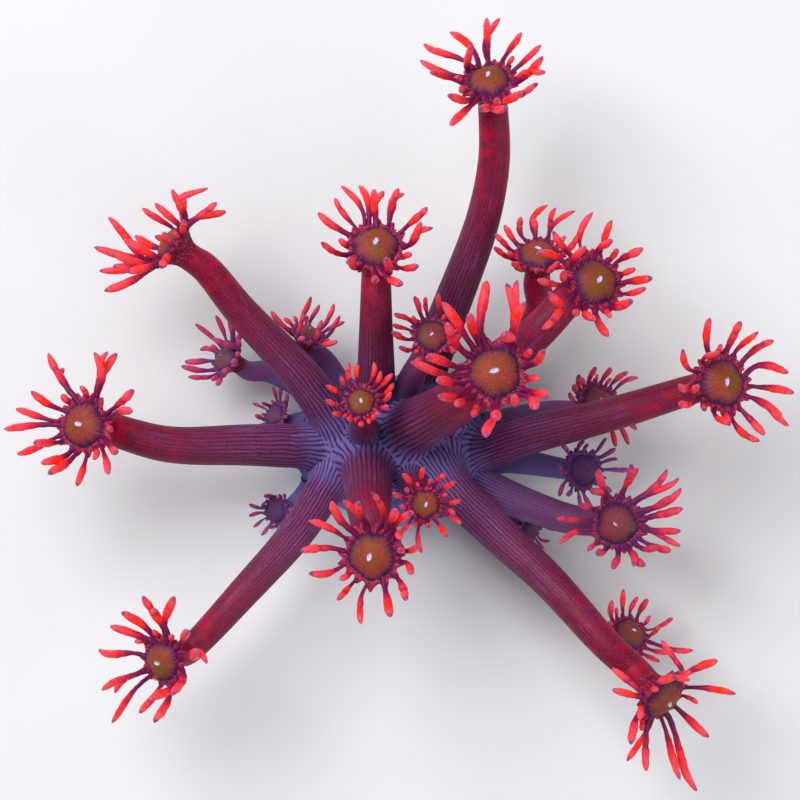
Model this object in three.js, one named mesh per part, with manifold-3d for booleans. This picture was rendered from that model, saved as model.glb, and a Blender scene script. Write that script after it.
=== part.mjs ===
// Flowerpot coral: a low stony base, long fleshy columns, and a crown of tentacles on each one.
// Millimetres, +Z up. The origin is the middle of the flat cut face under the base.
import * as THREE from 'three';
import { mergeVertices } from 'three/addons/utils/BufferGeometryUtils.js';
import Module from 'manifold-3d';

const wasm = await Module();
wasm.setup();

// Places are read in a picture taken from straight above, as pixels across and down it.
const MM_PER_PIXEL = 0.18;
const PIXEL_OF_ORIGIN = { across: 395, down: 450 };
const PIXEL_UNDER_EYE = { across: 400, down: 400 };
const EYE_HEIGHT = 800;

// The base is an oval mound, wider than it is deep, with a slightly uneven outline.
const MOUND = { halfWidth: 17.5, halfDepth: 13, height: 18.5, sides: 20, unevenness: 0.05 };
const MOUND_PROFILE = [
  { level: 0.0, girth: 0.88 },
  { level: 0.2, girth: 0.99 },
  { level: 0.45, girth: 1.0 },
  { level: 0.68, girth: 0.91 },
  { level: 0.86, girth: 0.7 },
  { level: 0.97, girth: 0.36 },
];

// Where one piece of tissue meets the next.
const PIECE_GAP = 0.3;

// A column's girth, as shares of its neck's radius. It is widest at its foot, and narrows to the
// neck at its very end. A slim column has fewer sides.
const COLUMN_GIRTH = { belly: 1.05, taper: 0.5, footSwell: 0.15, footShare: 0.3 };
const COLUMN_FACETS = { sides: 8, slimSides: 6, slimRadius: 2.3, ringSpacing: 11, fewestSteps: 3 };

// Proportions of a crown, as shares of the radius of its mouth disc. The column below it is
// straight over the length of the throat.
const CROWN = { rim: 1.18, rimDepth: 0.26, neckDepth: 1.15, domeHeight: 0.48, throat: 0.9 };

// A tentacle's widths are in mm, and the rest are shares of its length. The turns between
// neighbours round the rim are in degrees, but apart is a share of the width of a root.
const TENTACLE = { halfWidth: 0.42, swell: 0.74, swellAt: 0.62, bow: 0.14 };
const TENTACLE_AT_EASE = { reach: 0.75, lift: 0.5 };
const TENTACLE_TURNS = { tightest: 14, apart: 1.15, widest: 52, roomToMove: 335, passes: 60 };

const TISSUE = {
  base: { color: 0x5a4a95, roughness: 0.6 },
  column: { color: 0x6b1e3f, roughness: 0.45 },
  crown: { color: 0xe23a44, roughness: 0.4 },
};

// Each polyp in turn. route runs from inside the base to the bend below the crown; its places and
// the middle of the disc are [across, down, height in mm]. faces is where the mouth points, as a
// bearing and a tilt from straight up, in degrees. neck and disc are radii, and reach is the
// length of a tentacle, all in mm. Each tip is where one tentacle ends: [across, down], or
// [across, down, height] where the crown is seen from its side.
const POLYPS = {
  top: {
    route: [[404, 412, 4], [422, 379, 7], [452, 304, 17.5], [483, 219, 25], [494, 160, 29]],
    at: [489, 81, 38], faces: [100, 40], neck: 2.4, disc: 3.6, reach: 8.6,
    tips: [[487, 18], [500, 18], [522, 32], [543, 57], [545, 72], [538, 83], [522, 92], [508, 108],
      [497, 99], [479, 108], [450, 126], [448, 95], [430, 72], [420, 60], [424, 44], [450, 32],
      [470, 46]],
  },
  upper_left: {
    route: [[360, 440, 8], [338, 424, 14], [300, 374, 20], [240, 310, 24]],
    at: [171, 244, 29], faces: [145, 78], neck: 2.4, disc: 3.6, reach: 9,
    tips: [[172, 190, 32], [208, 188, 29], [217, 202, 33], [226, 211, 28], [183, 195, 25],
      [155, 203, 34], [142, 208, 27], [108, 217, 31], [124, 239, 36], [94, 247, 27],
      [111, 254, 33], [113, 266, 30], [99, 271, 25], [104, 291, 29], [127, 272, 34],
      [160, 268, 37], [184, 220, 37], [135, 236, 22]],
  },
  left: {
    route: [[345, 446, 6], [310, 446, 13], [249, 445, 19], [166, 444, 24]],
    at: [84, 425, 32], faces: [170, 28], neck: 2.6, disc: 4, reach: 9.5,
    tips: [[48, 353], [64, 368], [31, 391], [16, 409], [4, 429], [33, 443], [17, 454], [41, 463],
      [48, 474], [94, 352], [108, 352], [117, 353], [133, 390], [131, 411], [116, 453],
      [108, 474]],
  },
  lower_left: {
    route: [[352, 452, 6], [334, 474, 13], [298, 531, 20], [246, 590, 24]],
    at: [163, 661, 30], faces: [200, 38], neck: 2.2, disc: 3.5, reach: 9.4,
    tips: [[143, 596], [157, 611], [175, 596], [110, 626], [134, 637], [99, 650], [102, 690],
      [115, 693], [112, 723], [139, 713], [154, 722], [172, 695], [150, 699], [187, 632],
      [196, 650], [207, 663]],
  },
  upper_middle: {
    route: [[376, 424, 6], [376, 398, 14], [376, 345, 27], [376, 300, 34]],
    at: [376, 247, 41], faces: [90, 30], neck: 2.3, disc: 4, reach: 8.4,
    tips: [[318, 212], [335, 198], [341, 186], [359, 186], [374, 189], [384, 191], [399, 188],
      [404, 194], [421, 222], [433, 228], [418, 266], [402, 284], [374, 280], [321, 242],
      [349, 258], [386, 258]],
  },
  small_centre: {
    route: [[365, 436, 12], [364, 430, 20], [363, 418, 27]],
    at: [361, 402, 35], faces: [90, 12], neck: 1.7, disc: 2.5, reach: 5,
    tips: [[349, 363], [357, 363], [374, 362], [381, 371], [393, 374], [394, 383], [391, 392],
      [388, 406], [375, 416], [362, 425], [348, 418], [332, 413], [326, 400], [326, 386],
      [341, 376]],
  },
  lower_middle: {
    route: [[367, 462, 10], [367, 470, 18], [368, 492, 29], [371, 520, 38]],
    at: [372, 556, 46], faces: [200, 14], neck: 3, disc: 4.1, reach: 9,
    tips: [[332, 501], [343, 501], [359, 502], [372, 492], [309, 521], [300, 551], [309, 573],
      [337, 600], [361, 624], [390, 617], [406, 600], [412, 574], [400, 552], [400, 538],
      [418, 546], [396, 509], [412, 514]],
  },
  lower_small: {
    route: [[412, 474, 12], [413, 482, 19], [418, 494, 25]],
    at: [425, 504, 32], faces: [340, 8], neck: 1.7, disc: 2.6, reach: 5.6,
    tips: [[403, 474], [424, 467], [446, 473], [455, 482], [461, 500], [455, 515], [461, 524],
      [447, 537], [429, 527], [422, 553], [413, 513], [406, 490], [393, 493]],
  },
  lower_right: {
    route: [[420, 450, 10], [438, 466, 16], [458, 494, 18.5], [504, 539, 21], [551, 583, 25.5],
      [606, 644, 30]],
    at: [663, 698, 35], faces: [316, 55], neck: 2.4, disc: 3.9, reach: 9,
    tips: [[612, 690, 40], [612, 668, 37], [718, 660, 36], [736, 694, 33], [709, 737, 29],
      [697, 791, 27], [680, 779, 30], [646, 771, 34], [627, 761, 30], [662, 640, 29],
      [640, 720, 43], [690, 680, 41]],
  },
  lower_right_behind: {
    route: [[424, 474, 3], [476, 517, 4], [527, 564, 4.5], [580, 618, 7]],
    at: [630, 634, 13], faces: [50, 42], neck: 1.9, disc: 3, reach: 6,
    tips: [[638, 597], [648, 599], [673, 618], [661, 626], [693, 650], [612, 600], [598, 622],
      [604, 650]],
  },
  right: {
    route: [[455, 452, 7], [484, 450, 13], [530, 435, 20], [615, 413, 26]],
    at: [722, 383, 35], faces: [12, 24], neck: 2.35, disc: 4.1, reach: 8.6,
    tips: [[683, 349], [710, 318], [741, 321], [758, 332], [774, 341], [788, 373], [794, 393],
      [782, 416], [789, 426], [765, 435], [760, 441], [731, 425], [719, 352], [679, 384],
      [698, 386], [679, 404]],
  },
  centre_right: {
    route: [[402, 434, 10], [410, 428, 18], [440, 412, 33], [475, 391, 47]],
    at: [495, 373, 57], faces: [110, 10], neck: 3.2, disc: 4.4, reach: 11.5,
    tips: [[486, 280], [506, 283], [517, 280], [525, 302], [504, 334], [544, 350], [547, 398],
      [535, 408], [515, 396], [495, 417], [486, 436], [437, 381], [438, 396], [456, 405],
      [426, 357], [411, 362], [442, 302], [469, 314], [447, 323]],
  },
  upper_right_back: {
    route: [[430, 416, 5], [466, 385, 8], [518, 346, 15], [540, 308, 22]],
    at: [538, 255, 31], faces: [90, 46], neck: 2.2, disc: 3.4, reach: 6.6,
    tips: [[504, 225], [521, 217], [532, 217], [548, 205], [556, 208], [575, 211], [579, 233],
      [495, 234], [494, 247], [512, 262], [560, 262]],
  },
  upper_right_front: {
    route: [[424, 420, 8], [449, 403, 14.5], [490, 368, 26], [535, 334, 35]],
    at: [595, 282, 45], faces: [28, 26], neck: 2.6, disc: 4, reach: 8.6,
    tips: [[593, 212], [612, 220], [612, 240], [586, 246], [643, 248], [652, 278], [646, 288],
      [595, 320], [633, 301], [553, 231], [537, 254], [538, 280], [549, 292], [563, 271],
      [574, 311], [542, 329]],
  },
  middle: {
    route: [[406, 402, 10], [409, 386, 17], [418, 366, 24]],
    at: [432, 336, 33], faces: [100, 14], neck: 1.7, disc: 2.8, reach: 6.2,
    tips: [[414, 296], [426, 297], [438, 293], [394, 314], [392, 324], [392, 332], [399, 347],
      [416, 362], [440, 364], [455, 352], [461, 335], [455, 312]],
  },
  right_behind: {
    route: [[450, 440, 3], [490, 428, 5], [550, 414, 7.5]],
    at: [598, 402, 14], faces: [40, 28], neck: 1.9, disc: 3, reach: 5.6,
    tips: [[569, 393], [574, 386], [579, 375], [596, 367], [611, 368], [628, 372], [639, 378],
      [644, 421], [637, 430], [629, 445], [616, 447], [586, 440]],
  },
  right_low: {
    route: [[460, 468, 4], [500, 460, 7.6], [536, 464, 9]],
    at: [584, 470, 14], faces: [0, 26], neck: 1.6, disc: 2.9, reach: 4.8,
    tips: [[559, 496], [568, 496], [580, 506], [616, 448], [618, 459], [630, 470], [592, 507],
      [612, 492], [584, 440], [562, 446]],
  },
  right_lower: {
    route: [[455, 477, 6.5], [487, 488, 11.5], [530, 506, 15], [575, 520, 19]],
    at: [617, 524, 26], faces: [180, 12], neck: 2.1, disc: 3.7, reach: 8.4,
    tips: [[599, 469], [631, 464], [638, 468], [667, 469], [679, 478], [681, 488], [671, 496],
      [683, 508], [681, 531], [680, 546], [671, 551], [658, 548], [645, 565], [634, 566],
      [613, 568], [597, 554], [580, 506], [591, 490]],
  },
  left_behind_long: {
    route: [[348, 424, 4], [316, 396, 7], [270, 372, 9]],
    at: [226, 358, 14], faces: [150, 55], neck: 1.55, disc: 2.7, reach: 6.4,
    tips: [[195, 324, 12], [181, 366, 15], [188, 377, 17], [217, 385, 18], [200, 350, 8],
      [241, 334, 15], [222, 372, 20], [212, 338, 19]],
  },
  left_behind_short: {
    route: [[362, 420, 4], [338, 384, 8], [318, 356, 11]],
    at: [308, 334, 16], faces: [70, 60], neck: 1.6, disc: 2.5, reach: 5.4,
    tips: [[311, 297, 17], [334, 304, 14], [340, 316, 18], [284, 318, 15], [271, 311, 18],
      [304, 312, 22], [322, 320, 21]],
  },
  left_hidden: {
    route: [[340, 432, 2], [308, 424, 4.5]],
    at: [275, 415, 8], faces: [150, 45], neck: 1.3, disc: 2, reach: 3.6,
    tips: [[262, 403], [255, 415], [264, 430], [284, 400], [290, 432]],
  },
  lower_left_hidden: {
    route: [[345, 470, 2.5], [310, 492, 5]],
    at: [276, 511, 8.5], faces: [190, 35], neck: 1.4, disc: 2.1, reach: 3.6,
    tips: [[284, 494], [264, 496], [260, 508], [266, 528], [280, 531]],
  },
  lower_right_hidden: {
    route: [[466, 478, 2.5], [504, 500, 3.2]],
    at: [530, 529, 7.5], faces: [330, 40], neck: 1.2, disc: 1.9, reach: 3.2,
    tips: [[521, 516], [534, 519], [542, 530], [536, 540], [519, 530]],
  },
};

// A closed skin of flat faces, whose corners turn to the left when they are seen from outside.
class Skin {
  constructor() {
    this.points = [];
    this.faces = [];
  }

  corner(point) {
    return this.points.push(point) - 1;
  }

  ring(points) {
    return points.map((point) => this.corner(point));
  }

  face(...corners) {
    for (let i = 1; i < corners.length - 1; i += 1) {
      this.faces.push([corners[0], corners[i], corners[i + 1]]);
    }
  }

  band(ring, next) {
    ring.forEach((corner, i) => {
      const j = (i + 1) % ring.length;
      this.face(corner, ring[j], next[j], next[i]);
    });
  }

  fan(ring, tip) {
    ring.forEach((corner, i) => this.face(corner, ring[(i + 1) % ring.length], tip));
  }

  geometry() {
    const positions = this.points.flatMap((point) => point.toArray());
    const geometry = new THREE.BufferGeometry();
    geometry.setAttribute('position', new THREE.Float32BufferAttribute(positions, 3));
    geometry.setIndex(this.faces.flat());
    return geometry;
  }
}

function solidOf(geometry) {
  const merged = mergeVertices(geometry);
  return new wasm.Manifold(new wasm.Mesh({
    numProp: 3,
    vertProperties: merged.attributes.position.array,
    triVerts: new Uint32Array(merged.index.array),
  }));
}

function geometryOf(solid) {
  const mesh = solid.getMesh();
  const geometry = new THREE.BufferGeometry();
  geometry.setAttribute('position', new THREE.Float32BufferAttribute(mesh.vertProperties, 3));
  geometry.setIndex(new THREE.Uint32BufferAttribute(mesh.triVerts, 1));
  return geometry;
}

// The point that is seen at a pixel, at a height above the floor.
function seen([across, down, height]) {
  const scale = (MM_PER_PIXEL * (EYE_HEIGHT - height)) / EYE_HEIGHT;
  return new THREE.Vector3(
    (PIXEL_UNDER_EYE.across - PIXEL_OF_ORIGIN.across) * MM_PER_PIXEL
      + (across - PIXEL_UNDER_EYE.across) * scale,
    (PIXEL_OF_ORIGIN.down - PIXEL_UNDER_EYE.down) * MM_PER_PIXEL
      - (down - PIXEL_UNDER_EYE.down) * scale,
    height,
  );
}

// The mound, or the room that it takes up where a column meets it.
function moundSkin(room = 0) {
  const skin = new Skin();
  const level = ({ level: share, girth }) => {
    const points = [];
    for (let i = 0; i < MOUND.sides; i += 1) {
      const turn = (i / MOUND.sides) * 2 * Math.PI;
      const lump = 1 + MOUND.unevenness * (Math.sin(3 * turn) + Math.cos(5 * turn + share * 4)) / 2;
      points.push(new THREE.Vector3(
        (MOUND.halfWidth * girth * lump + room) * Math.cos(turn),
        (MOUND.halfDepth * girth * lump + room) * Math.sin(turn),
        share * MOUND.height + (share > 0 ? room * share : -room),
      ));
    }
    return skin.ring(points);
  };
  const rings = MOUND_PROFILE.map(level);
  const bottom = skin.corner(new THREE.Vector3(0, 0, -room));
  skin.fan([...rings[0]].reverse(), bottom);
  rings.slice(1).forEach((ring, i) => skin.band(rings[i], ring));
  skin.fan(rings.at(-1), skin.corner(new THREE.Vector3(0, 0, MOUND.height + room)));
  return skin;
}

// The place and the three directions of a crown: normal is where its mouth points.
function crownFrame({ at, faces: [bearing, tilt], disc }) {
  const turn = THREE.MathUtils.degToRad(bearing);
  const lean = THREE.MathUtils.degToRad(tilt);
  const ahead = new THREE.Vector3(Math.cos(turn), Math.sin(turn), 0);
  const normal = ahead.clone().multiplyScalar(Math.sin(lean));
  normal.z = Math.cos(lean);
  const side = new THREE.Vector3(-Math.sin(turn), Math.cos(turn), 0);
  const up = new THREE.Vector3().crossVectors(normal, side);
  const middle = seen(at);
  const neck = middle.clone().addScaledVector(normal, -CROWN.neckDepth * disc);
  return { middle, normal, side, up, ahead, lean, neck };
}

// Where a tentacle ends. A tip that looks short from above stands up by what it lacks in length.
function tipPlace(polyp, frame, [across, down, height]) {
  if (height !== undefined) {
    return seen([across, down, height]);
  }
  const place = frame.middle.clone();
  for (let pass = 0; pass < 3; pass += 1) {
    const offset = seen([across, down, place.z]).sub(frame.middle);
    const sideways = offset.dot(frame.side);
    const forwards = offset.dot(frame.ahead);
    const stretch = Math.hypot(sideways, forwards / Math.cos(frame.lean)) - polyp.disc;
    const lift = Math.sqrt(Math.max(0, polyp.reach ** 2 - Math.max(0, stretch) ** 2));
    const upwards = (lift * Math.sin(frame.lean) - forwards) / Math.cos(frame.lean);
    place.copy(frame.middle)
      .addScaledVector(frame.normal, lift)
      .addScaledVector(frame.side, sideways)
      .addScaledVector(frame.up, upwards);
  }
  return place;
}

// The tentacles in their order round the rim, each with its turn and its tip. Their roots are
// moved apart where they would touch, and a wide space takes one more.
function tentaclesOf(polyp, frame) {
  const degrees = THREE.MathUtils.radToDeg;
  const tentacles = polyp.tips.map((pixel) => {
    const tip = tipPlace(polyp, frame, pixel);
    const offset = tip.clone().sub(frame.middle);
    return { tip, turn: degrees(Math.atan2(offset.dot(frame.up), offset.dot(frame.side))) };
  });
  tentacles.sort((a, b) => a.turn - b.turn);
  for (let i = 0; i < tentacles.length; i += 1) {
    const last = i === tentacles.length - 1;
    const next = last ? tentacles[0].turn + 360 : tentacles[i + 1].turn;
    if (next - tentacles[i].turn > TENTACLE_TURNS.widest) {
      const turn = tentacles[i].turn + TENTACLE_TURNS.widest / 2;
      tentacles.splice(i + 1, 0, { turn, tip: restingTip(polyp, frame, turn) });
    }
  }
  const rootWidth = 2 * degrees(TENTACLE.halfWidth / (CROWN.rim * polyp.disc));
  const tightest = Math.min(
    Math.max(TENTACLE_TURNS.tightest, TENTACLE_TURNS.apart * rootWidth),
    TENTACLE_TURNS.roomToMove / tentacles.length,
  );
  for (let pass = 0; pass < TENTACLE_TURNS.passes; pass += 1) {
    tentacles.forEach((tentacle, i) => {
      const last = i === tentacles.length - 1;
      const next = tentacles[last ? 0 : i + 1];
      const overlap = tightest - (next.turn + (last ? 360 : 0) - tentacle.turn);
      if (overlap > 0) {
        tentacle.turn -= overlap / 2;
        next.turn += overlap / 2;
      }
    });
  }
  return tentacles;
}

function rimDirection(frame, turn) {
  const angle = THREE.MathUtils.degToRad(turn);
  return frame.side.clone().multiplyScalar(Math.cos(angle))
    .addScaledVector(frame.up, Math.sin(angle));
}

// A tentacle that is out of sight spreads out at its ease.
function restingTip(polyp, frame, turn) {
  return frame.middle.clone()
    .addScaledVector(rimDirection(frame, turn), polyp.disc + polyp.reach * TENTACLE_AT_EASE.reach)
    .addScaledVector(frame.normal, polyp.reach * TENTACLE_AT_EASE.lift);
}

function crownSkin(polyp) {
  const frame = crownFrame(polyp);
  const skin = new Skin();
  const tentacles = tentaclesOf(polyp, frame);
  const rimRadius = CROWN.rim * polyp.disc;
  const rimDepth = CROWN.rimDepth * polyp.disc;
  const halfTurn = THREE.MathUtils.radToDeg(TENTACLE.halfWidth / rimRadius);
  const rimPoint = (turn, radius, depth) => frame.middle.clone()
    .addScaledVector(rimDirection(frame, turn), radius)
    .addScaledVector(frame.normal, -depth);

  const neck = skin.ring(tentacles.map(({ turn }) => rimPoint(
    turn,
    polyp.neck,
    CROWN.neckDepth * polyp.disc,
  )));
  const roots = tentacles.map(({ turn }) => skin.ring([
    rimPoint(turn - halfTurn, rimRadius, rimDepth),
    rimPoint(turn + halfTurn, rimRadius, rimDepth),
    rimPoint(turn + halfTurn, rimRadius, 0),
    rimPoint(turn - halfTurn, rimRadius, 0),
  ]));
  const dome = skin.corner(rimPoint(0, 0, -CROWN.domeHeight * polyp.disc));

  skin.face(...[...neck].reverse());
  tentacles.forEach(({ turn, tip }, i) => {
    const j = (i + 1) % tentacles.length;
    const [lowLeft, lowRight, topRight, topLeft] = roots[i];
    const [nextLowLeft, , , nextTopLeft] = roots[j];
    skin.face(neck[i], lowRight, lowLeft);
    skin.face(neck[i], neck[j], nextLowLeft, lowRight);
    skin.face(lowRight, nextLowLeft, nextTopLeft, topRight);
    skin.face(topLeft, topRight, dome);
    skin.face(topRight, nextTopLeft, dome);
    growTentacle(skin, roots[i], rimPoint(turn, rimRadius, rimDepth / 2), frame, turn, tip);
  });
  return skin;
}

// A tentacle bows away from the mouth, swells past half way and tapers to its tip.
function growTentacle(skin, root, start, frame, turn, tip) {
  const outwards = rimDirection(frame, turn);
  const along = tip.clone().sub(start);
  const length = along.length();
  const heading = along.normalize();
  const across = new THREE.Vector3().crossVectors(frame.normal, outwards);
  const width = across.addScaledVector(heading, -across.dot(heading)).normalize();
  const height = new THREE.Vector3().crossVectors(heading, width);
  const steepness = Math.max(0, heading.dot(frame.normal));
  const middle = start.clone().addScaledVector(heading, TENTACLE.swellAt * length)
    .addScaledVector(outwards, TENTACLE.bow * length * steepness);
  const corners = [[-1, -1], [1, -1], [1, 1], [-1, 1]];
  const swollen = skin.ring(corners.map(([sideways, upwards]) => middle.clone()
    .addScaledVector(width, sideways * TENTACLE.swell)
    .addScaledVector(height, upwards * TENTACLE.swell)));
  skin.band(root, swollen);
  skin.fan(swollen, skin.corner(tip));
}

// The line of a column, from inside the base to just short of its crown.
function columnLine(polyp) {
  const frame = crownFrame(polyp);
  const end = frame.neck.clone().addScaledVector(frame.normal, -PIECE_GAP);
  const throat = end.clone().addScaledVector(frame.normal, -CROWN.throat * polyp.disc);
  return {
    curve: new THREE.CatmullRomCurve3([...polyp.route.map(seen), throat, end]),
    endFacing: frame.normal,
  };
}

function columnRadius(polyp, share) {
  const foot = COLUMN_GIRTH.footSwell * Math.max(0, 1 - share / COLUMN_GIRTH.footShare) ** 2;
  const body = share === 1 ? 1 : COLUMN_GIRTH.belly + COLUMN_GIRTH.taper * (1 - share);
  return polyp.neck * (body + foot);
}

function columnSkin(polyp) {
  const { curve, endFacing } = columnLine(polyp);
  const facets = COLUMN_FACETS;
  const sides = polyp.neck < facets.slimRadius ? facets.slimSides : facets.sides;
  const steps = Math.max(facets.fewestSteps, Math.round(curve.getLength() / facets.ringSpacing));
  const skin = new Skin();
  const rings = [];
  const width = new THREE.Vector3(0, 0, 1);
  for (let step = 0; step <= steps; step += 1) {
    const share = step / steps;
    const heading = step === steps ? endFacing : curve.getTangentAt(share);
    width.addScaledVector(heading, -width.dot(heading)).normalize();
    const height = new THREE.Vector3().crossVectors(heading, width);
    const place = curve.getPointAt(share);
    const radius = columnRadius(polyp, share);
    const points = [];
    for (let side = 0; side < sides; side += 1) {
      const angle = (side / sides) * 2 * Math.PI;
      points.push(place.clone()
        .addScaledVector(width, radius * Math.cos(angle))
        .addScaledVector(height, radius * Math.sin(angle)));
    }
    rings.push(skin.ring(points));
  }
  skin.face(...[...rings[0]].reverse());
  rings.slice(1).forEach((ring, i) => skin.band(rings[i], ring));
  skin.face(...rings.at(-1));
  return skin;
}

function tissueMesh(name, geometry, tissue) {
  geometry.computeVertexNormals();
  const mesh = new THREE.Mesh(geometry, new THREE.MeshStandardMaterial({ ...tissue, metalness: 0 }));
  mesh.name = name;
  return mesh;
}

const coral = new THREE.Group();
coral.add(tissueMesh('base', moundSkin().geometry(), TISSUE.base));

const moundRoom = solidOf(moundSkin(PIECE_GAP).geometry());
for (const [name, polyp] of Object.entries(POLYPS)) {
  const column = solidOf(columnSkin(polyp).geometry()).subtract(moundRoom);
  coral.add(tissueMesh(`column_${name}`, geometryOf(column), TISSUE.column));
  coral.add(tissueMesh(`crown_${name}`, crownSkin(polyp).geometry(), TISSUE.crown));
}

export default coral;
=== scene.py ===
from functools import partialmethod
from math import cos, pi, radians, sin

import bpy
import numpy as np
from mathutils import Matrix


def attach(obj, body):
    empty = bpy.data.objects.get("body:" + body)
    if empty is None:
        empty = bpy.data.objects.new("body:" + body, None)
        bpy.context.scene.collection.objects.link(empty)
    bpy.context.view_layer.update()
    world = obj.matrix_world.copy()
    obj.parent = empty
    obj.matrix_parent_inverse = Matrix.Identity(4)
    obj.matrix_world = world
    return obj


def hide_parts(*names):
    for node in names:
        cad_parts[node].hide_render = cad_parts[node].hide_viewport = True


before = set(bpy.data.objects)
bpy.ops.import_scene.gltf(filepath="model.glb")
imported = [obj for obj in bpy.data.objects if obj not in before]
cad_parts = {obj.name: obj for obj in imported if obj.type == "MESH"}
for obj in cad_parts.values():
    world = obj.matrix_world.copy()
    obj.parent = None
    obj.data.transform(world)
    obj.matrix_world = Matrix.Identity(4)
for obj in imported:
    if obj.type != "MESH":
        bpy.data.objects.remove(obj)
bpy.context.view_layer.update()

# The camera looks straight down on the coral through a long lens. Places read in its picture are
# pixels across and down a frame of 800 by 800, and heights above the floor are in millimetres.
MM = 0.001
MM_PER_PIXEL = 0.18
EYE_HEIGHT = 800
PIXEL_OF_ORIGIN = (395, 450)
PIXEL_UNDER_EYE = (400, 400)
PICTURE_PIXELS = 800
PICTURE_WIDTH = PICTURE_PIXELS * MM_PER_PIXEL
EYE = np.array([(PIXEL_UNDER_EYE[0] - PIXEL_OF_ORIGIN[0]) * MM_PER_PIXEL,
                (PIXEL_OF_ORIGIN[1] - PIXEL_UNDER_EYE[1]) * MM_PER_PIXEL,
                EYE_HEIGHT])


def seen(across, down, height):
    """The point in millimetres that is seen at a pixel, at a height above the floor."""
    scale = MM_PER_PIXEL * (EYE_HEIGHT - height) / EYE_HEIGHT
    return np.array([EYE[0] + (across - PIXEL_UNDER_EYE[0]) * scale,
                     EYE[1] - (down - PIXEL_UNDER_EYE[1]) * scale,
                     height])


def placed(name, data):
    """A new object in the scene."""
    piece = bpy.data.objects.new(name, data)
    bpy.context.scene.collection.objects.link(piece)
    return piece


lens = bpy.data.cameras.new("camera")
lens.sensor_width = 36
lens.lens = lens.sensor_width * EYE_HEIGHT / PICTURE_WIDTH
lens.clip_end = 10
camera = placed("camera", lens)
camera.location = EYE * MM
bpy.context.scene.camera = camera

# The base: a low mound of stony skeleton under a thin violet-blue skin, which all the columns
# share. It grew on rock and is cut off flat, so the bare porous skeleton shows underneath.
MOUND = {"half_width": 17.5, "half_depth": 13, "height": 18.5}
MOUND_GIRTH = {"steepness": 4, "tuck": 0.12, "tuck_height": 0.08, "unevenness": 0.025,
               "lumps": (3, 5), "lean": 4}
MOUND_MESH = {"around": 360, "levels": 150, "crowding": 1.4}
RIDGES = {"count": 24, "depth": 0.18, "spread": 5.0, "wander": 1.5, "waves": (1.1, 0.7),
          "sharpness": 0.7, "flat_below": 0.15}
SLANTED_UP = (0.3, 0.2, 1)
SKIN_GRAIN = {"size": 0.6, "detail": 5, "depth": 0.2}
PORES = {"spacing": 1.1, "depth": 0.4, "wall": 1.6}

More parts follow.
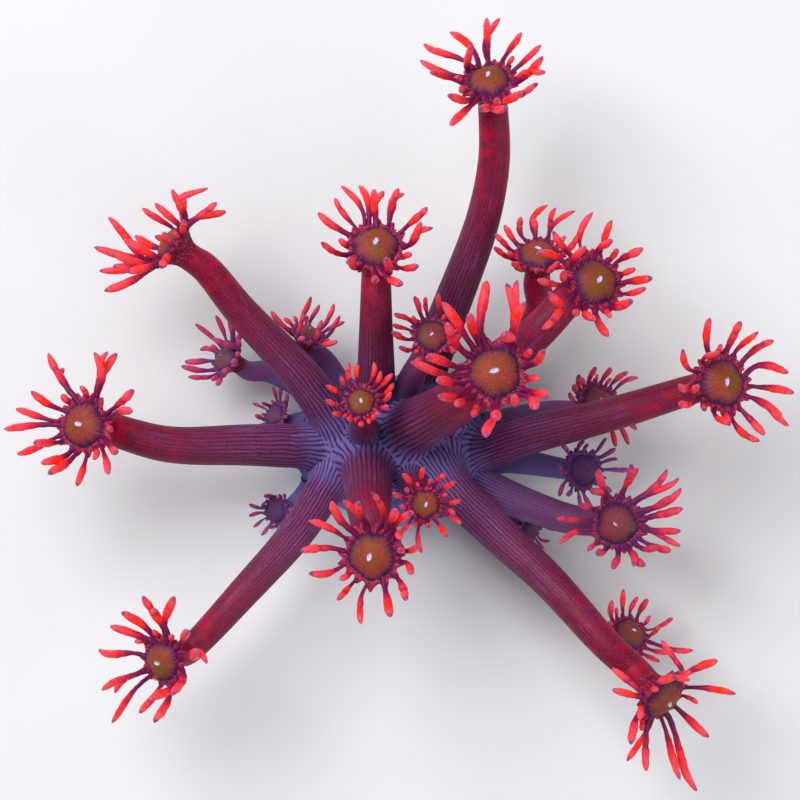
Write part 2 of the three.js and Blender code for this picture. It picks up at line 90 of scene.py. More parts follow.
# Where the polyps stand. route runs from inside the base to the bend below the crown, and with at,
# the middle of the mouth disc, is in [across, down, height]. faces is where the mouth points: a
# bearing and a tilt from straight up. neck and disc are radii in millimetres.
POLYPS = {
    "top": {"at": [489, 81, 38], "faces": [100, 40], "neck": 2.4, "disc": 3.6, "route": [
        [404, 412, 4], [422, 379, 7], [452, 304, 17.5], [483, 219, 25], [494, 160, 29]]},
    "upper_left": {"at": [171, 244, 29], "faces": [145, 78], "neck": 2.4, "disc": 3.6, "route": [
        [360, 440, 8], [338, 424, 14], [300, 374, 20], [240, 310, 24]]},
    "left": {"at": [84, 425, 32], "faces": [170, 28], "neck": 2.6, "disc": 4, "route": [
        [345, 446, 6], [310, 446, 13], [249, 445, 19], [166, 444, 24]]},
    "lower_left": {"at": [163, 661, 30], "faces": [200, 38], "neck": 2.2, "disc": 3.5, "route": [
        [352, 452, 6], [334, 474, 13], [298, 531, 20], [246, 590, 24]]},
    "upper_middle": {"at": [376, 247, 41], "faces": [90, 30], "neck": 2.3, "disc": 4, "route": [
        [376, 424, 6], [376, 398, 14], [376, 345, 27], [376, 300, 34]]},
    "small_centre": {"at": [361, 402, 35], "faces": [90, 12], "neck": 1.7, "disc": 2.5, "route": [
        [365, 436, 12], [364, 430, 20], [363, 418, 27]]},
    "lower_middle": {"at": [372, 556, 46], "faces": [200, 14], "neck": 3, "disc": 4.1, "route": [
        [367, 462, 10], [367, 470, 18], [368, 492, 29], [371, 520, 38]]},
    "lower_small": {"at": [425, 504, 32], "faces": [340, 8], "neck": 1.7, "disc": 2.6, "route": [
        [412, 474, 12], [413, 482, 19], [418, 494, 25]]},
    "lower_right": {"at": [663, 698, 35], "faces": [316, 55], "neck": 2.4, "disc": 3.9, "route": [
        [420, 450, 10], [438, 466, 16], [458, 494, 18.5], [504, 539, 21], [551, 583, 25.5],
        [606, 644, 30]]},
    "lower_right_behind": {"at": [630, 634, 13], "faces": [50, 42], "neck": 1.9, "disc": 3, "route": [
        [424, 474, 3], [476, 517, 4], [527, 564, 4.5], [580, 618, 7]]},
    "right": {"at": [722, 383, 35], "faces": [12, 24], "neck": 2.35, "disc": 4.1, "route": [
        [455, 452, 7], [484, 450, 13], [530, 435, 20], [615, 413, 26]]},
    "centre_right": {"at": [495, 373, 57], "faces": [110, 10], "neck": 3.2, "disc": 4.4, "route": [
        [402, 434, 10], [410, 428, 18], [440, 412, 33], [475, 391, 47]]},
    "upper_right_back": {"at": [538, 255, 31], "faces": [90, 46], "neck": 2.2, "disc": 3.4, "route": [
        [430, 416, 5], [466, 385, 8], [518, 346, 15], [540, 308, 22]]},
    "upper_right_front": {"at": [595, 282, 45], "faces": [28, 26], "neck": 2.6, "disc": 4, "route": [
        [424, 420, 8], [449, 403, 14.5], [490, 368, 26], [535, 334, 35]]},
    "middle": {"at": [432, 336, 33], "faces": [100, 14], "neck": 1.7, "disc": 2.8, "route": [
        [406, 402, 10], [409, 386, 17], [418, 366, 24]]},
    "right_behind": {"at": [598, 402, 14], "faces": [40, 28], "neck": 1.9, "disc": 3, "route": [
        [450, 440, 3], [490, 428, 5], [550, 414, 7.5]]},
    "right_low": {"at": [584, 470, 14], "faces": [0, 26], "neck": 1.6, "disc": 2.9, "route": [
        [460, 468, 4], [500, 460, 7.6], [536, 464, 9]]},
    "right_lower": {"at": [617, 524, 26], "faces": [180, 12], "neck": 2.1, "disc": 3.7, "route": [
        [455, 477, 6.5], [487, 488, 11.5], [530, 506, 15], [575, 520, 19]]},
    "left_behind_long": {"at": [226, 358, 14], "faces": [150, 55], "neck": 1.55, "disc": 2.7, "route": [
        [348, 424, 4], [316, 396, 7], [270, 372, 9]]},
    "left_behind_short": {"at": [308, 334, 16], "faces": [70, 60], "neck": 1.6, "disc": 2.5, "route": [
        [362, 420, 4], [338, 384, 8], [318, 356, 11]]},
    "left_hidden": {"at": [275, 415, 8], "faces": [150, 45], "neck": 1.3, "disc": 2, "route": [
        [340, 432, 2], [308, 424, 4.5]]},
    "lower_left_hidden": {"at": [276, 511, 8.5], "faces": [190, 35], "neck": 1.4, "disc": 2.1, "route": [
        [345, 470, 2.5], [310, 492, 5]]},
    "lower_right_hidden": {"at": [530, 529, 7.5], "faces": [330, 40], "neck": 1.2, "disc": 1.9, "route": [
        [466, 478, 2.5], [504, 500, 3.2]]},
}
CROWN_NECK_DEPTH = 1.15
THROAT = 0.9
STEPS_BETWEEN_KNOTS = 24


def crown_axes(polyp):
    """The middle of a crown's disc, where its mouth points, and two directions across it."""
    bearing, tilt = (radians(angle) for angle in polyp["faces"])
    normal = np.array([sin(tilt) * cos(bearing), sin(tilt) * sin(bearing), cos(tilt)])
    side = np.array([-sin(bearing), cos(bearing), 0])
    return seen(*polyp["at"]), normal, side, np.cross(normal, side)


def smooth_line(knots, spacing):
    """Evenly spaced points on a centripetal Catmull-Rom curve through the knots."""
    knots = [2 * knots[0] - knots[1], *knots, 2 * knots[-1] - knots[-2]]
    share = np.linspace(0, 1, STEPS_BETWEEN_KNOTS, endpoint=False)[:, None]
    pieces = []
    for before, start, end, after in zip(knots, knots[1:], knots[2:], knots[3:]):
        run_in, run, run_out = (np.linalg.norm(b - a) ** 0.5
                                for a, b in ((before, start), (start, end), (end, after)))
        leaving = run * ((start - before) / run_in - (end - before) / (run_in + run)
                         + (end - start) / run)
        arriving = run * ((end - start) / run - (after - start) / (run + run_out)
                          + (after - end) / run_out)
        pieces.append((2 * share ** 3 - 3 * share ** 2 + 1) * start
                      + (share ** 3 - 2 * share ** 2 + share) * leaving
                      + (3 * share ** 2 - 2 * share ** 3) * end
                      + (share ** 3 - share ** 2) * arriving)
    fine = np.vstack([*pieces, knots[-2]])
    travelled = np.append(0, np.cumsum(np.linalg.norm(np.diff(fine, axis=0), axis=1)))
    stops = np.linspace(0, travelled[-1], max(2, round(travelled[-1] / spacing)) + 1)
    return np.column_stack([np.interp(stops, travelled, fine[:, k]) for k in range(3)])


def mound_girth(level, turn):
    """How wide the mound is at a share of its height, as a share of its half width."""
    shape = np.sqrt(np.clip(1 - level ** MOUND_GIRTH["steepness"], 0, 1))
    tuck = 1 - MOUND_GIRTH["tuck"] * np.exp(-level / MOUND_GIRTH["tuck_height"])
    few, many = MOUND_GIRTH["lumps"]
    lump = np.sin(few * turn) + np.cos(many * turn + MOUND_GIRTH["lean"] * level)
    return shape * tuck * (1 + MOUND_GIRTH["unevenness"] * lump)


def outside_mound(point):
    level = point[2] / MOUND["height"]
    across = np.array([point[0] / MOUND["half_width"], point[1] / MOUND["half_depth"]])
    turn = np.arctan2(across[1], across[0])
    return level > 1 or np.hypot(*across) > mound_girth(level, turn)


COLUMN_SPACING = 0.5
column_lines = {}
column_feet = {}
for name, polyp in POLYPS.items():
    middle, normal, _, _ = crown_axes(polyp)
    end = middle - CROWN_NECK_DEPTH * polyp["disc"] * normal
    throat = end - THROAT * polyp["disc"] * normal
    line = smooth_line([*(seen(*place) for place in polyp["route"]), throat, end], COLUMN_SPACING)
    column_lines[name] = line
    column_feet[name] = next(k for k, point in enumerate(line) if outside_mound(point))


def new_mesh(name, points, faces, values, edges=()):
    """A mesh from points in millimetres, with named numbers or directions at its points."""
    mesh = bpy.data.meshes.new(name)
    mesh.from_pydata((np.asarray(points) * MM).tolist(), edges, faces)
    for key, numbers in values.items():
        numbers = np.asarray(numbers, dtype=np.float32)
        kind, field = ("FLOAT", "value") if numbers.ndim == 1 else ("FLOAT_VECTOR", "vector")
        mesh.attributes.new(key, kind, "POINT").data.foreach_set(field, numbers.ravel())
    return mesh


def hoops(rings, around):
    """The faces that join rings of points, each with the same number of points."""
    return [(low + k, low + (k + 1) % around, low + around + (k + 1) % around, low + around + k)
            for low in range(0, (rings - 1) * around, around) for k in range(around)]


def ridged_mound():
    """The mound's skin, with ridges that run out over it from the foot of each column."""
    levels = np.sin(np.linspace(0, pi / 2, MOUND_MESH["levels"])[:-1]) ** MOUND_MESH["crowding"]
    turns = np.arange(MOUND_MESH["around"]) / MOUND_MESH["around"] * 2 * pi
    level, turn = np.meshgrid(levels, turns, indexing="ij")
    girth = mound_girth(level, turn)
    skin = np.stack([MOUND["half_width"] * girth * np.cos(turn),
                     MOUND["half_depth"] * girth * np.sin(turn),
                     MOUND["height"] * level], axis=-1)
    outwards = skin / [MOUND["half_width"], MOUND["half_depth"], MOUND["height"]]
    outwards[..., 2] = outwards[..., 2] ** 3
    outwards /= np.linalg.norm(outwards, axis=-1, keepdims=True)
    nearest = np.full(level.shape, np.inf)
    groove = np.zeros(level.shape)
    for name, foot in column_feet.items():
        centre = column_lines[name][foot]
        ahead = column_lines[name][foot + 2] - centre
        ahead /= np.linalg.norm(ahead)
        side = np.cross(ahead, SLANTED_UP)
        side /= np.linalg.norm(side)
        up = np.cross(ahead, side)
        offset = skin - centre
        right, high = offset @ side, offset @ up
        distance = np.hypot(right, high)
        wander = RIDGES["wander"] * np.sin(np.stack([distance, right], -1) @ RIDGES["waves"])
        ripple = np.cos(RIDGES["count"] * np.arctan2(high, right) + wander)
        fade = np.clip(1 - (distance - POLYPS[name]["neck"]) / RIDGES["spread"], 0, 1)
        closer = distance < nearest
        nearest = np.where(closer, distance, nearest)
        groove = np.where(closer, np.clip(-ripple, 0, 1) ** RIDGES["sharpness"] * fade, groove)
    flat = np.clip(level / RIDGES["flat_below"], 0, 1)
    skin -= outwards * (RIDGES["depth"] * groove * flat)[..., None]
    return skin.reshape(-1, 3), (groove * flat).ravel()


skin, groove = ridged_mound()
around, rings = MOUND_MESH["around"], MOUND_MESH["levels"] - 1
summit, sole = len(skin), len(skin) + 1
faces = hoops(rings, around)
faces += [((rings - 1) * around + k, (rings - 1) * around + (k + 1) % around, summit)
          for k in range(around)]
cut_faces = [((k + 1) % around, k, sole) for k in range(around)]
base_mesh = new_mesh("base_skin", [*skin, [0, 0, MOUND["height"]], [0, 0, 0]], faces + cut_faces,
                     {"groove": [*groove, 0, 0]})
base_mesh.polygons.foreach_set("material_index", [0] * len(faces) + [1] * len(cut_faces))
base_mesh.polygons.foreach_set("use_smooth", [True] * len(faces) + [False] * len(cut_faces))
base = placed("base_skin", base_mesh)


def tint(code):
    """A colour written as six hexadecimal digits, as the linear numbers that shaders take."""
    shares = [int(code[k:k + 2], 16) / 255 for k in (0, 2, 4)]
    return (*(share / 12.92 if share < 0.04045 else ((share + 0.055) / 1.055) ** 2.4
              for share in shares), 1)


class Wire:
    """A node's output. Sums written with it add Math nodes to its tree."""

    def __init__(self, socket):
        self.socket = socket

    def maths(self, operation, *terms):
        terms = dict(enumerate([self, *terms]))
        return Recipe(self.socket.id_data).node("ShaderNodeMath", {"operation": operation}, terms)

    def other(self, outlet):
        return Wire(self.socket.node.outputs[outlet])

    __add__ = partialmethod(maths, "ADD")
    __sub__ = partialmethod(maths, "SUBTRACT")
    __mul__ = partialmethod(maths, "MULTIPLY")
    __truediv__ = partialmethod(maths, "DIVIDE")
    __pow__ = partialmethod(maths, "POWER")

    def __rsub__(self, term):
        return (self * -1) + term

    def clamped(self):
        return self.maths("MINIMUM", 1).maths("MAXIMUM", 0)

    def rise(self, low, high):
        """A share that is 0 below low and 1 above high."""
        return Recipe(self.socket.id_data).node(
            "ShaderNodeMapRange", {"interpolation_type": "SMOOTHSTEP"},
            {"Value": self, "From Min": low, "From Max": high})


class Recipe:
    """A node tree, for a finish or for a shape."""

    def __init__(self, tree):
        self.tree = tree

    def node(self, kind, settings=None, values=None, outlet=0):
        node = self.tree.nodes.new(kind)
        for key, setting in (settings or {}).items():
            if key == "stops":
                stops = node.color_ramp.elements
                while len(stops) < len(setting):
                    stops.new(0.5)
                for stop, (place, colour) in zip(stops, setting):
                    stop.position = place
                    stop.color = colour
            elif key == "bends":
                bends = node.mapping.curves[0].points
                while len(bends) < len(setting):
                    bends.new(0.5, 0.5)
                for bend, place in zip(bends, setting):
                    bend.location = place
                node.mapping.update()
            else:
                setattr(node, key, setting)
        for key, value in (values or {}).items():
            if isinstance(value, Wire):
                self.tree.links.new(value.socket, node.inputs[key])
            else:
                node.inputs[key].default_value = value
        return Wire(node.outputs[outlet]) if node.outputs else None

    def mix(self, share, first, second):
        """A blend of two colours, each a code or another node's output."""
        first, second = (tint(colour) if isinstance(colour, str) else colour
                         for colour in (first, second))
        return self.node("ShaderNodeMix", {"data_type": "RGBA"}, {0: share, 6: first, 7: second}, 2)

    def vector(self, operation, first, second=None, outlet=0, **values):
        terms = {0: first, **values} if second is None else {0: first, 1: second, **values}
        return self.node("ShaderNodeVectorMath", {"operation": operation}, terms, outlet)

    def place(self):
        if self.tree.type == "GEOMETRY":
            return self.node("GeometryNodeInputPosition")
        return self.node("ShaderNodeTexCoord", outlet="Object")

    def noise(self, size, detail):
        """Noise whose lumps are about size millimetres across."""
        values = {"Vector": self.place(), "Scale": 1 / (size * MM), "Detail": detail}
        return self.node("ShaderNodeTexNoise", None, values)

    def value(self, name, kind="FLOAT"):
        """A value that the mesh holds at its points."""
        if self.tree.type == "GEOMETRY":
            return self.node("GeometryNodeInputNamedAttribute", {"data_type": kind}, {"Name": name})
        return self.node("ShaderNodeAttribute", {"attribute_name": name}, outlet="Fac")

    def ramp(self, share, *stops):
        """Colours that follow one another, each a place and a code."""
        stops = [(place, tint(code)) for place, code in stops]
        return self.node("ShaderNodeValToRGB", {"stops": stops}, {"Fac": share})

    def bump(self, height, depth):
        """Relief that is at most depth millimetres deep."""
        return self.node("ShaderNodeBump", None, {"Distance": depth * MM, "Height": height})


def finish(name, surface_of, settings=None):
    """A material, with the surface that surface_of(recipe) describes."""
    material = bpy.data.materials.new(name)
    material.use_nodes = True
    recipe = Recipe(material.node_tree)
    recipe.tree.nodes.clear()
    surface = recipe.node("ShaderNodeBsdfPrincipled", settings, surface_of(recipe))
    recipe.node("ShaderNodeOutputMaterial", None, {"Surface": surface})
    return material


def flesh(name, paint, grain, roughness, painted_glow, sheen=0.0):
    """Wet living tissue, coloured by paint(recipe), with a faint painted glow; grain is its fine relief.
    """

    def surface(recipe):
        colour = paint(recipe)
        relief = recipe.bump(recipe.noise(grain["size"], grain["detail"]), grain["depth"])
        return {"Base Color": colour, "Roughness": roughness, "Normal": relief,
                "Subsurface Weight": 0.1, "Subsurface Radius": (1, 0.3, 0.3),
                "Subsurface Scale": 0.5 * MM, "Specular IOR Level": 0.16,
                "Coat Weight": 0.03, "Coat Roughness": 0.3,
                "Sheen Weight": sheen, "Sheen Roughness": 0.3, "Sheen Tint": tint("8C7CE8"),
                # painted light: a faint glow in the tissue's own colour, though it is no lamp
                "Emission Color": colour, "Emission Strength": painted_glow}

    return finish(name, surface, {"subsurface_method": "RANDOM_WALK"})


def base_colour(recipe):
    """Violet-blue tissue, in patches, over the stony skeleton."""
    skin = recipe.ramp(recipe.noise(6, 4), (0.3, "3A306E"), (0.48, "544A98"), (0.62, "5064B4"))
    return recipe.mix((recipe.noise(0.4, 4) * 0.5).clamped(), skin, "847EBC")


def paint_base(recipe):
    # painted shade: the mound's grooves are darkened
    return recipe.mix((recipe.value("groove") * 0.8).clamped(), base_colour(recipe), "1B1440")


def cut_skeleton(recipe):
    """The bare cut: pale stony skeleton, full of small round pores, which are painted dark as shade."""
    pores = recipe.node("ShaderNodeTexVoronoi", None,
                        {"Vector": recipe.place(), "Scale": 1 / (PORES["spacing"] * MM)})
    height = (pores * PORES["wall"]).clamped()
    # painted shade: the pores, which are only bump, are painted dark
    return {"Base Color": recipe.mix(height, "5E5448", "D9CFBB"), "Roughness": 0.85,
            "Normal": recipe.bump(height, PORES["depth"])}


base_mesh.materials.append(flesh("base_skin", paint_base, SKIN_GRAIN,
                                 roughness=0.5, painted_glow=0.03, sheen=0.04))
base_mesh.materials.append(finish("cut_skeleton", cut_skeleton))
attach(base, "root")
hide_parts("base")

# The columns: the polyps' long hollow bodies, soft muscle blown up with water. Each has
# lengthwise ribs, which fan out where its foot spreads over the base and fade near the crown.
COLUMN_GIRTH = {"belly": 1.05, "taper": 0.5, "neck_run": 2.6}
FOOT = {"above": 3.2, "below": 2.6, "buried": 5.0, "spread": 0.55, "flare": 1.5,
        "rise": 1.3, "sink": 0.9, "settling": 4, "landing": (0.2, 0.75)}
MOUND_CORE = (0, 0, 5)
FLOOR_ROOM = 0.35
RIBS = {"count": 30, "depth": 0.18, "least": 0.15, "sharpness": 3.4, "facets": 240,
        "waviness": 0.75, "wave_size": 3.2, "least_wave": 0.12, "fade": 1.8, "fade_curve": 1.5,
        "hem": 5}
COLUMN_GRAIN = {"size": 0.35, "detail": 4, "depth": 0.12}

# Polyps that grow low down at the back are duller and more violet than the others: partly their
# own tone, partly painted shade for where they stand.
DULLNESS_AND_SHADE = {"lower_right_behind": 0.15, "right_behind": 0.4, "right_low": 1.0, "right_lower": 0.3,
            "left_behind_long": 0.6, "left_behind_short": 0.4, "left_hidden": 0.8,
            "lower_left_hidden": 1.0, "lower_right_hidden": 1.0, "middle": 0.2}


def column_strand(name, polyp):
    """A column's middle line, from inside the base to its crown, with its girth along it."""
    line, foot = column_lines[name], column_feet[name]
    buried = round(FOOT["buried"] / COLUMN_SPACING)
    line = line[max(0, foot - buried):]
    missing = buried - min(foot, buried)
    steps = np.arange(-missing, 0)[:, None]
    line = np.vstack([line[0] + steps * (line[1] - line[0]), line])
    out = (np.arange(len(line)) - buried) * COLUMN_SPACING
    share = np.clip(out / out[-1], 0, 1)
    body = COLUMN_GIRTH["belly"] + COLUMN_GIRTH["taper"] * (1 - share)
    to_neck = np.clip((out[-1] - out) / COLUMN_GIRTH["neck_run"], 0, 1)
    body = 1 + (body - 1) * (3 * to_neck ** 2 - 2 * to_neck ** 3)
    values = {"girth": polyp["neck"] * body * MM, "along": share, "out": np.clip(out, 0, None),
              "dull": np.full(len(line), DULLNESS_AND_SHADE.get(name, 0.0))}
    return new_mesh("line", line, [], values, [(k, k + 1) for k in range(len(line) - 1)])


def shape_recipe(name, inputs):
    """A tree for a shape. Each input has a name, and a number to start with or a kind."""
    recipe = Recipe(bpy.data.node_groups.new(name, "GeometryNodeTree"))
    identifiers = {}
    for key, value in inputs.items():
        kind = value if isinstance(value, str) else type(value).__name__.capitalize()
        socket = recipe.tree.interface.new_socket(key, in_out="INPUT", socket_type="NodeSocket" + kind)
        if kind != value:
            socket.default_value = value
        identifiers[key] = socket.identifier
    recipe.tree.interface.new_socket("Shape", in_out="OUTPUT", socket_type="NodeSocketGeometry")
    return recipe, recipe.node("NodeGroupInput"), identifiers


def keep(recipe, geometry, name, value):
    """The geometry, with a value kept at its points under a name."""
    return recipe.node("GeometryNodeStoreNamedAttribute", {"data_type": "FLOAT", "domain": "POINT"},
                       {"Geometry": geometry, "Name": name, "Value": value})


def round_outline(recipe, facets):
    return recipe.node("GeometryNodeCurvePrimitiveCircle", None, {"Resolution": facets, "Radius": 1.0})


def tubes(recipe, lines, outline, girth):
    """Tubes along the lines of a mesh, closed at their ends."""
    curves = recipe.node("GeometryNodeMeshToCurve", None, {"Mesh": lines})
    return recipe.node("GeometryNodeCurveToMesh", None, {
        "Curve": curves, "Profile Curve": outline, "Scale": girth, "Fill Caps": True})


def along_normals(recipe, distance):
    return recipe.vector("SCALE", recipe.node("GeometryNodeInputNormal"), Scale=distance)


def moved(recipe, geometry, offset):
    return recipe.node("GeometryNodeSetPosition", None, {"Geometry": geometry, "Offset": offset})


def dressed(recipe, geometry, material):
    real = recipe.node("GeometryNodeRealizeInstances", None, {"Geometry": geometry})
    return recipe.node("GeometryNodeSetMaterial", None, {"Geometry": real, "Material": material})


def spread_foot(recipe, tube, mound, spread):
    """The tube, with the end that is in the mound turned out into a skirt that lies on it."""
    place = recipe.place()
    core = [part * MM for part in MOUND_CORE]

    def nearest(point):
        return recipe.node("GeometryNodeProximity", {"target_element": "FACES"},
                           {"Geometry": mound, "Sample Position": point})

    def from_core(point):
        return recipe.vector("SUBTRACT", point, core)

    height = (recipe.vector("LENGTH", from_core(place), outlet=1)
              - recipe.vector("LENGTH", from_core(nearest(place)), outlet=1))
    zone = (FOOT["above"] + FOOT["below"]) * MM
    marked = keep(recipe, tube, "foot", (height * -1 + FOOT["above"] * MM) / zone)
    foot = recipe.value("foot")
    push = foot.clamped() ** FOOT["flare"] * recipe.value("girth") * spread
    pushed = recipe.vector("ADD", place, along_normals(recipe, push))
    on_mound = nearest(pushed)
    settling = foot ** FOOT["settling"]
    rise = (1 - settling) * (FOOT["rise"] * MM) - settling * (FOOT["sink"] * MM)
    away = recipe.vector("NORMALIZE", from_core(on_mound))
    resting = recipe.vector("ADD", on_mound, recipe.vector("SCALE", away, Scale=rise))
    settled = recipe.node("ShaderNodeMix", {"data_type": "VECTOR"},
                          {0: foot.rise(*FOOT["landing"]), 4: pushed, 5: resting}, outlet=1)
    above_floor = recipe.vector("MAXIMUM", settled, (-1, -1, FLOOR_ROOM * MM))
    return recipe.node("GeometryNodeSetPosition", None,
                       {"Geometry": marked, "Position": above_floor})


def ribbed_column():
    recipe, given, identifiers = shape_recipe("ribbed_column", {
        "Line": "Geometry", "Mound": "Object", "Flesh": "Material", "Ribs": RIBS["count"],
        "Groove depth": RIBS["depth"] * MM, "Facets": RIBS["facets"],
        "Waviness": RIBS["waviness"], "Foot spread": FOOT["spread"]})
    turn = recipe.node("GeometryNodeSplineParameter", outlet="Factor") * (2 * pi)
    turned = keep(recipe, round_outline(recipe, given.other("Facets")), "turn", turn)
    for key, operation in (("turn_across", "COSINE"), ("turn_up", "SINE")):
        turned = keep(recipe, turned, key, recipe.value("turn").maths(operation))
    tube = tubes(recipe, given, turned, recipe.value("girth"))
    mound = recipe.node("GeometryNodeObjectInfo", None, {"Object": given.other("Mound")},
                        outlet="Geometry")
    flared = spread_foot(recipe, tube, mound, given.other("Foot spread"))

    waves = recipe.noise(RIBS["wave_size"], 1)
    footing = (1 - recipe.value("along") * RIBS["fade"]).clamped()
    wander = (waves - 0.5) * 2 * given.other("Waviness") * (footing ** 2 + RIBS["least_wave"])
    phase = recipe.value("turn") * given.other("Ribs") + wander * (2 * pi)
    groove = (0.5 - phase.maths("COSINE") * 0.5) ** RIBS["sharpness"]
    grooved = keep(recipe, flared, "groove", groove)
    hem = ((1 - recipe.value("foot")) * RIBS["hem"]).clamped()
    share = footing ** RIBS["fade_curve"] * (1 - RIBS["least"]) + RIBS["least"]
    depth = recipe.value("groove") * share * hem * given.other("Groove depth")
    ribbed = moved(recipe, grooved, along_normals(recipe, depth * -1))
    smooth = recipe.node("GeometryNodeSetShadeSmooth", None, {"Geometry": ribbed})
    recipe.node("NodeGroupOutput", None, {"Shape": dressed(recipe, smooth, given.other("Flesh"))})
    return recipe.tree, identifiers


def shaped(name, mesh, shape, inputs):
    """The plain mesh that a shape's tree makes of another, as a new object."""
    tree, identifiers = shape
    source = placed(name + "_source", mesh)
    modifier = source.modifiers.new("shape", "NODES")
    modifier.node_group = tree
    for key, value in inputs.items():
        modifier[identifiers[key]] = value
    ready = source.evaluated_get(bpy.context.evaluated_depsgraph_get())
    result = bpy.data.meshes.new_from_object(ready)
    result.name = name
    source.modifiers.remove(modifier)
    bpy.data.objects.remove(source)
    return placed(name, result)


# Blends towards a dull violet by the polyp's dullness, which is partly its own tone and partly painted
# shade.
def dulled(recipe, colour, dull_and_shade_tint, most=0.75):
    return recipe.mix(recipe.value("dull") * most, colour, dull_and_shade_tint)


def paint_column(recipe):
    along, out = recipe.value("along"), recipe.value("out")
    foot = recipe.value("foot").clamped()
    place = along + (recipe.noise(9, 2) - 0.5) * 0.2
    crest = recipe.ramp(place, (0, "6E4072"), (0.25, "763860"), (0.5, "72284C"), (0.75, "7A1038"),
                        (1, "86022C"))
    # painted shade: the grooves between the ribs are darker, less so towards the crown
    groove_shade = recipe.ramp(place, (0, "22123C"), (0.3, "301040"), (0.6, "440E38"), (1, "5E0428"))
    groove_shade_share = (recipe.value("groove") * (1.15 - along * 0.8)).clamped()
    ribbed = recipe.mix(groove_shade_share, crest, groove_shade)
    dark_grains = recipe.noise(0.3, 2).rise(0.52, 0.58) * 0.45
    grained = recipe.mix(dark_grains, ribbed, "340E34")
    embers = recipe.noise(0.24, 1).rise(0.56, 0.68) * (along * 0.3 + 0.2)
    speckled = recipe.mix(embers, grained, "B03A28")
    blush = recipe.noise(3.5, 2).rise(0.48, 0.66) * along.rise(0.5, 0.9) * 0.85
    blushed = recipe.mix(blush, speckled, "A60434")

    # painted highlight: lavender glint streaks along the column, strongest towards the foot
    stretched = recipe.node("ShaderNodeCombineXYZ", None, {
        "X": recipe.value("turn_across") * 7, "Y": recipe.value("turn_up") * 7, "Z": out * 0.12})
    painted_glint_noise = recipe.node("ShaderNodeTexNoise", None, {"Vector": stretched, "Scale": 1.0, "Detail": 3.0})
    painted_glints = painted_glint_noise.rise(0.56, 0.72) * (1 - along) * 0.45
    with_painted_glints = recipe.mix(painted_glints, blushed, "7C70C4")
    column_dull_and_shaded = dulled(recipe, with_painted_glints, "7468B0", 0.8)
    # lighter lavender near the foot: partly the foot's own violet tone, partly a painted highlight on its
    # crests
    near_foot = 1 - (out + (recipe.noise(2.5, 2) - 0.5) * 3).rise(0.0, 4.5)
    foot_tone_and_highlight = recipe.mix(near_foot * 0.65, column_dull_and_shaded, "7264A4")
    settled = recipe.mix(foot.rise(0.55, 1.0) * 0.75, foot_tone_and_highlight, base_colour(recipe))
    # painted shade: the grooves near the foot are darkened further
    return recipe.mix(groove_shade_share * near_foot * 0.9, settled, "1A1240")


column_flesh = flesh("column_flesh", paint_column, COLUMN_GRAIN,
                     roughness=0.48, painted_glow=0.04, sheen=0.05)
column_shape = ribbed_column()
for name, polyp in POLYPS.items():
    column = shaped("stalk_" + name, column_strand(name, polyp), column_shape,
                    {"Flesh": column_flesh, "Mound": base})
    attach(column, "root")
    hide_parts("column_" + name)

# The crowns: a cup at the end of each column, closed by a domed olive-gold disc with the mouth in
# its middle. A granular rim rings the disc, and draws out into a row of tentacles, some forked.
CUP = [(0.0, -1.2), (0.0, -1.0), (0.08, -0.8), (0.32, -0.55), (0.66, -0.32), (0.92, -0.16)]
LIP = [(1.2, -0.06), (1.12, 0.03), (1.04, 0.04), (0.985, -0.01)]
DOME = [(0.95, 0.05), (0.86, 0.16), (0.7, 0.29), (0.5, 0.39), (0.3, 0.45), (0.2, 0.48), (0.14, 0.52),
        (0.08, 0.5), (0.045, 0.46), (0.012, 0.44)]
CROWN_MESH = {"around": 192, "steps": 3}
CUP_RIBS = {"depth": 0.03, "sharpness": 1.5, "fade": 3}
CUP_SPREAD = (1.3, 2.0)
WEB = {"reach": 0.3, "notch": 0.04, "half_turn": 7.5}
DISC = {"relief": 0.012, "relief_place": 0.6, "relief_spread": 0.4, "uneven": 0.035,
        "lumps": (3, 5), "scallops": 30, "scallop": 0.014, "edge": (0.4, 0.9)}
MOUTH = {"flatness": 0.5, "radius": 0.2, "fade": 1.8}
FLECKS = {"spacing": 0.72, "radius": 0.3, "inner": 1.02, "outer": 1.2, "height": 0.01,
          "shape": (1.0, 0.7, 0.4), "sizes": (0.5, 1.2), "stray": 0.3, "seed": 5}
TENTACLE = {"radius": 0.72, "reach_of_radius": 9.0, "thickening": 0.7, "facets": 14, "points": 30,
            "crowding": 1.25, "root_place": 1.0, "root_height": -0.1, "root_lift": 1 / 3,
            "handle": 0.3, "droop": 0.12, "bend": 0.16, "most_bend": 0.3, "counter_bend": -0.6,
            "lumpiness": 0.55, "lump_size": 1.3}
GIRTHS = {"forked": (0.9, 1.05), "single": (0.82, 1.12), "bud": (0.65, 0.85)}
BUD_REACH = (0.3, 0.5)
TENTACLE_PROFILE = [(0.0, 0.95), (0.1, 0.82), (0.24, 0.72), (0.38, 0.76), (0.52, 0.9), (0.66, 0.98),
                    (0.8, 0.94), (0.9, 0.74), (0.96, 0.48), (1.0, 0.12)]
TENTACLE_AT_EASE = {"reach": 0.75, "lift": 0.5}
TURNS = {"tightest": 14, "root_width": 0.97, "widest": 52, "room_to_move": 335, "passes": 60,
         "bud_space": 30}
KNUCKLE = {"chance": 0.28, "place": (0.55, 0.8), "length": 0.05, "pinch": 0.2}
SLIM_STEM = {"most": 0.38, "ends": 0.55, "fade": 0.3}
FORK = {"at": (0.4, 0.7), "stem": 0.25, "fade": 0.15, "branch": 0.92}
CROWN_GRAIN = {"size": 0.3, "detail": 3, "depth": 0.08}

